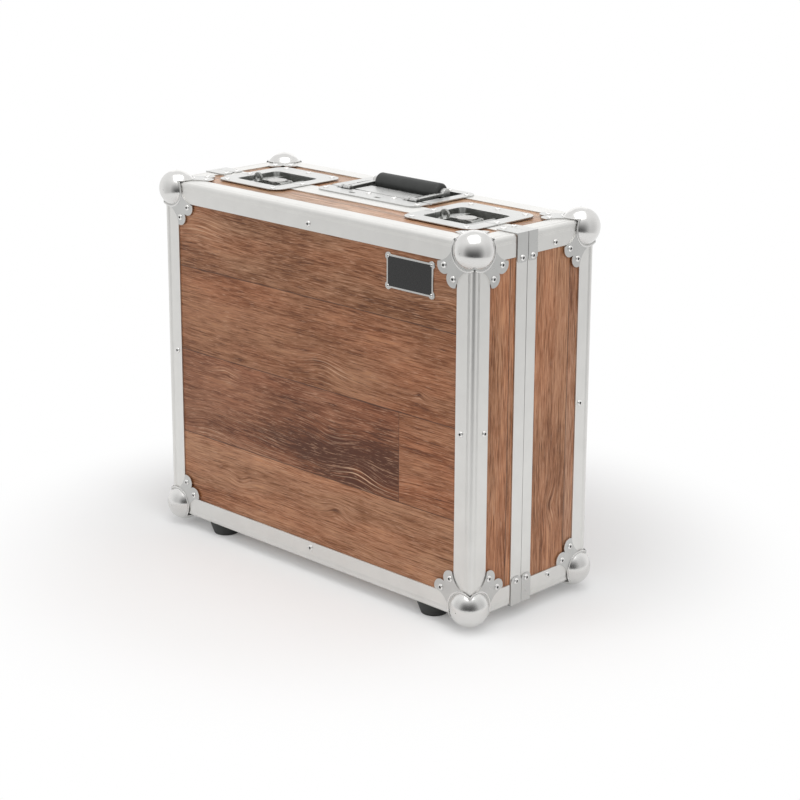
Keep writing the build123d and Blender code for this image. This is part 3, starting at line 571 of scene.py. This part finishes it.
def angle_piece(name, finish, bars):
    """Replace a node of edge angles by fluted bars."""
    bm = bmesh.new()
    for bar in bars:
        angle_bar(bm, *bar)
    bmesh.ops.recalc_face_normals(bm, faces=bm.faces)
    made = piece("fluted_" + name, bm, [finish], body_of_node[name])
    made.data.set_sharp_from_angle(angle=radians(24))
    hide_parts(name)


wide = right_x - left_x - 2 * leg
tall = top_z - bottom_z - 2 * leg
for shell, face, inward in (("lid", front_y, 1), ("base", rear_y, -1)):
    for level, z, down in (("top", top_z, -1), ("bottom", bottom_z, 1)):
        if shell == "base" and level == "top":
            continue
        angle_piece(shell + "_angle_" + level, aluminium_x,
                    [((0, face, z), (0, inward, 0), (0, 0, down), (1, 0, 0), wide)])
    for side, x, turn in (("left", left_x, 1), ("right", right_x, -1)):
        angle_piece(shell + "_angle_" + side, aluminium_z,
                    [((x, face, middle_z), (0, inward, 0), (turn, 0, 0), (0, 0, 1), tall)])
    low_y, high_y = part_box(shell + "_depth_angles")[0].y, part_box(shell + "_depth_angles")[1].y
    angle_piece(shell + "_depth_angles", aluminium_y,
                [((x, (low_y + high_y) / 2, z), (turn, 0, 0), (0, 0, down), (0, 1, 0), high_y - low_y)
                 for x, turn in ((left_x, 1), (right_x, -1)) for z, down in ((top_z, -1), (bottom_z, 1))])
softened("base_angle_top", aluminium_x, 0.2)


# Pop rivets: a domed flange round a dark bore of painted shade, standing where the CAD rivets stand

def islands(bm):
    """The separate shells of a mesh, as lists of vertices."""
    left = set(bm.verts)
    found = []
    while left:
        group, queue = [], [left.pop()]
        while queue:
            vert = queue.pop()
            group.append(vert)
            for edge in vert.link_edges:
                other = edge.other_vert(vert)
                if other in left:
                    left.remove(other)
                    queue.append(other)
        found.append(group)
    return found


rivet_curve = ((1.0, 0.0), (0.985, 0.22), (0.92, 0.50), (0.80, 0.76), (0.66, 0.93), (0.54, 1.0),
               (0.46, 0.94), (0.42, 0.45))
rivet_sides = 20
bore_most = 1.9 * mm


def rivets(shell):
    """Draw each rivet of a shell on the disc where its dome stands."""
    source = merged(shell + "_rivets", flat=False)
    bm = bmesh.new()
    for group in islands(source):
        low = Vector(min(v.co[i] for v in group) for i in range(3))
        high = Vector(max(v.co[i] for v in group) for i in range(3))
        size = high - low
        axis = min(range(3), key=lambda i: size[i])
        radius, height = max(size) / 2, size[axis]
        centre = (low + high) / 2
        outward = 1 if sum(1 for v in group if v.co[axis] - low[axis] < 1e-5) > 2 else -1
        centre[axis] = low[axis] if outward > 0 else high[axis]
        facing = Vector((0, 0, 0))
        facing[axis] = outward
        turn = facing.to_track_quat("Z", "Y").to_matrix().to_4x4()
        frame_of = Matrix.Translation(centre) @ turn
        points = [frame_of @ Vector((a * radius, 0, b * height)) for a, b in rivet_curve]
        verts = [bm.verts.new(p) for p in points]
        line = [bm.edges.new(pair) for pair in zip(verts, verts[1:])]
        bmesh.ops.spin(bm, geom=verts + line, cent=centre, axis=facing, angle=2 * pi,
                       steps=rivet_sides, use_merge=True)
        bmesh.ops.remove_doubles(bm, verts=bm.verts, dist=1e-6)
    rims = [e for e in bm.edges if len(e.link_faces) == 1]
    filled = bmesh.ops.holes_fill(bm, edges=rims, sides=0)["faces"]
    bmesh.ops.recalc_face_normals(bm, faces=bm.faces)
    # The small fill in each bore gets the painted shade of the rivet's hole
    for face in filled:
        face.material_index = 1 if face.calc_area() < pi * bore_most ** 2 else 0
    source.free()
    made = piece("pop_" + shell + "_rivets", bm, [rivet_steel, bore_painted_shade], shell)
    made.data.set_sharp_from_angle(angle=radians(50))
    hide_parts(shell + "_rivets")


rivets("lid")
rivets("base")


# Name plate: pressed steel with a bright rim, lobes for its rivets, and a blank black field

low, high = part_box("name_plate")
bm = merged("name_plate")
front = min(bm.faces, key=lambda f: f.calc_center_median().y)
rounded(bm, list(front.edges), 0.35 * mm)
made = piece("plate_rim", bm, [dish_steel], "lid")
made.data.set_sharp_from_angle(angle=crease)
flat_faces(made)
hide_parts("name_plate")

field_in, field_round, field_t, field_proud = 4.4 * mm, 1.5 * mm, 0.3 * mm, 0.05 * mm
bm = bmesh.new()
bmesh.ops.create_grid(bm, x_segments=1, y_segments=1, size=0.5)
bmesh.ops.scale(bm, verts=bm.verts, vec=(high.x - low.x - 2 * field_in, high.z - low.z - 2 * field_in, 1))
rounded(bm, list(bm.verts), field_round, segments=4, affect="VERTICES")
bmesh.ops.rotate(bm, verts=bm.verts, cent=(0, 0, 0), matrix=Matrix.Rotation(pi / 2, 3, "X"))
bmesh.ops.translate(bm, verts=bm.verts,
                    vec=((low.x + high.x) / 2, low.y - field_proud, (low.z + high.z) / 2))
drawn_out(bm, bmesh.ops.extrude_face_region(bm, geom=bm.faces[:], use_keep_orig=True), (0, field_t, 0))
bmesh.ops.recalc_face_normals(bm, faces=bm.faces)
piece("plate_field", bm, [enamel], "lid", smooth=False)


# Studio: a pale floor, white surroundings, soft lamps, and a dark screen for the metal to reflect

def seen_rays(tree):
    """1 for camera, glossy and transmission rays, and 0 for the rays that light the case."""
    rays = node(tree, "LightPath").node
    seen = node(tree, "Math", {0: rays.outputs["Is Camera Ray"], 1: rays.outputs["Is Glossy Ray"]},
                operation="MAXIMUM")
    return node(tree, "Math", {0: seen, 1: rays.outputs["Is Transmission Ray"]}, operation="MAXIMUM")


floor_size = 12.0
bm = bmesh.new()
bmesh.ops.create_grid(bm, x_segments=1, y_segments=1, size=floor_size / 2)
paper, tree, shader = material("white_paper", "#F8F8F8", Roughness=0.9, Specular_IOR_Level=0.0)
floor = mesh_object("studio_floor", bm, [paper])
shown = seen_rays(tree)
# The paper turns to the white of the surroundings over this distance from the case's middle
fade_from, fade_to = 0.30, 0.56
away = node(tree, "VectorMath", {0: node(tree, "TexCoord", out="Object")}, out="Value", operation="LENGTH")
away = node(tree, "MapRange", {"Value": away, "From Min": fade_from, "From Max": fade_to,
                               "To Min": 0.1, "To Max": 1.0}, interpolation_type="SMOOTHSTEP")
white = node(tree, "Emission", {"Color": (1, 1, 1, 1), "Strength": 1.0})
cover = node(tree, "MixShader", {0: node(tree, "Math", {0: shown, 1: away}, operation="MULTIPLY"),
                                 1: shader.outputs[0], 2: white})
# The floor opens over what lies under it, so that the lid shows when it swings down past the
# feet: the rays of the occlusion look downwards and find nothing while the lid is closed
under = node(tree, "AmbientOcclusion", {"Distance": 1.0}, out="AO", samples=16, inside=True)
closed = node(tree, "MapRange", {"Value": under, "From Min": 0.90, "From Max": 0.99})
cover = node(tree, "MixShader", {0: closed, 1: node(tree, "BsdfTransparent"), 2: cover})
tree.links.new(cover, tree.nodes["Material Output"].inputs["Surface"])

world = bpy.data.worlds.new("studio")
scene.world = world
world.use_nodes = True
tree = world.node_tree
tree.nodes.clear()
ambient = 0.46
strength = node(tree, "MapRange", {"Value": seen_rays(tree), "To Min": ambient, "To Max": 1.0})
white = node(tree, "Background", {"Color": (1, 1, 1, 1), "Strength": strength})
node(tree, "OutputWorld", {"Surface": white})


def softbox(name, direction, distance, size, share):
    """An area lamp aimed at the case. share is its part of a light that shows a colour as written."""
    data = bpy.data.lights.new(name, "AREA")
    data.shape = "SQUARE"
    data.size = size
    data.energy = share * pi ** 2 * distance ** 2
    lamp = bpy.data.objects.new(name, data)
    towards = Vector(direction).normalized()
    lamp.location = Vector((0, 0, middle_z)) + towards * distance
    lamp.rotation_euler = towards.to_track_quat("Z", "Y").to_euler()
    lamp.visible_camera = False
    scene.collection.objects.link(lamp)
    return lamp


softbox("overhead_softbox", (0.20, -0.15, 1.0), 2.2, 1.9, 0.39)
key = softbox("key_softbox", (1.0, -0.35, 0.5), 2.6, 2.4, 0.44)
fill = softbox("fill_softbox", (-0.35, -1.0, 0.35), 2.8, 2.2, 0.33)
# A low softbox behind the case, for the sheen on its top alone
rim = softbox("rim_softbox", (-0.70, 0.72, 0.42), 3.2, 2.6, 0.06)
key.visible_glossy = fill.visible_glossy = rim.visible_diffuse = False


# A dark screen with soft edges round the case, which only shiny metal sees: the balls get
# their dark patch over the horizon from it. It is open towards the lamp behind the case.
screen_r, screen_high = 1.15, 1.7
# The way from the case to the camera, over the floor
camera_side = Vector((0.70, -0.71, 0))
bm = bmesh.new()
bmesh.ops.create_circle(bm, cap_ends=False, segments=96, radius=screen_r)
behind = [v for v in bm.verts if v.co.dot(camera_side) < -0.4 * screen_r]
bmesh.ops.delete(bm, geom=behind, context="VERTS")
drawn_out(bm, bmesh.ops.extrude_edge_only(bm, edges=bm.edges[:]), (0, 0, screen_high))
felt, tree, _ = material("grey_felt", "#3A3A3A", Roughness=1.0, Specular_IOR_Level=0.0)
screen = mesh_object("studio_screen", bm, [felt])
place = node(tree, "TexCoord", out="Object")
flat_place = node(tree, "VectorMath", {0: place, 1: (1, 1, 0)}, operation="MULTIPLY")
facing = node(tree, "VectorMath", {0: flat_place, 1: camera_side / screen_r}, out="Value",
              operation="DOT_PRODUCT")
height = node(tree, "SeparateXYZ", {"Vector": place}, out="Z")
sideways = node(tree, "MapRange", {"Value": facing, "From Min": 0.55, "From Max": 1.0, "To Max": 0.6},
                interpolation_type="SMOOTHSTEP")
around = node(tree, "MapRange", {"Value": facing, "From Min": -0.4, "From Max": 0.4, "To Max": 0.30},
              interpolation_type="SMOOTHSTEP")
upwards = node(tree, "MapRange", {"Value": height, "From Min": 0.15, "From Max": screen_high, "To Min": 1.0,
                                  "To Max": 0.0}, interpolation_type="SMOOTHSTEP")
dark = node(tree, "Math", {0: sideways, 1: around}, operation="ADD")
dark = node(tree, "Math", {0: dark, 1: upwards}, operation="MULTIPLY")
glow = node(tree, "Math", {0: 1.0, 1: dark}, operation="SUBTRACT")
tree.links.new(node(tree, "Emission", {"Color": (1, 1, 1, 1), "Strength": glow}),
               tree.nodes["Material Output"].inputs["Surface"])
screen.visible_camera = screen.visible_diffuse = screen.visible_shadow = screen.visible_transmission = False


# Camera: its place and lens are solved from the case's corners in the photograph. It then looks
# 2 degrees lower than the solution, with less shift, so that the other views aren't cut at the top.

yaw, pitch, roll = radians(44.3010), radians(15.0), radians(0.2406)
forward = Vector((-sin(yaw) * cos(pitch), cos(yaw) * cos(pitch), -sin(pitch)))
flat = Vector((cos(yaw), sin(yaw), 0))
upright = flat.cross(forward)
across = flat * cos(roll) + upright * sin(roll)
upward = upright * cos(roll) - flat * sin(roll)
lens = bpy.data.cameras.new("photo_camera")
lens.sensor_width = 36.0
lens.lens = 89.79
lens.shift_y = -0.09
camera = bpy.data.objects.new("photo_camera", lens)
camera.matrix_world = Matrix.Translation((1.65163, -1.64062, 0.91366)) @ Matrix(
    (across, upward, -forward)).transposed().to_4x4()
scene.collection.objects.link(camera)
scene.camera = camera
scene.view_settings.view_transform = "Standard"
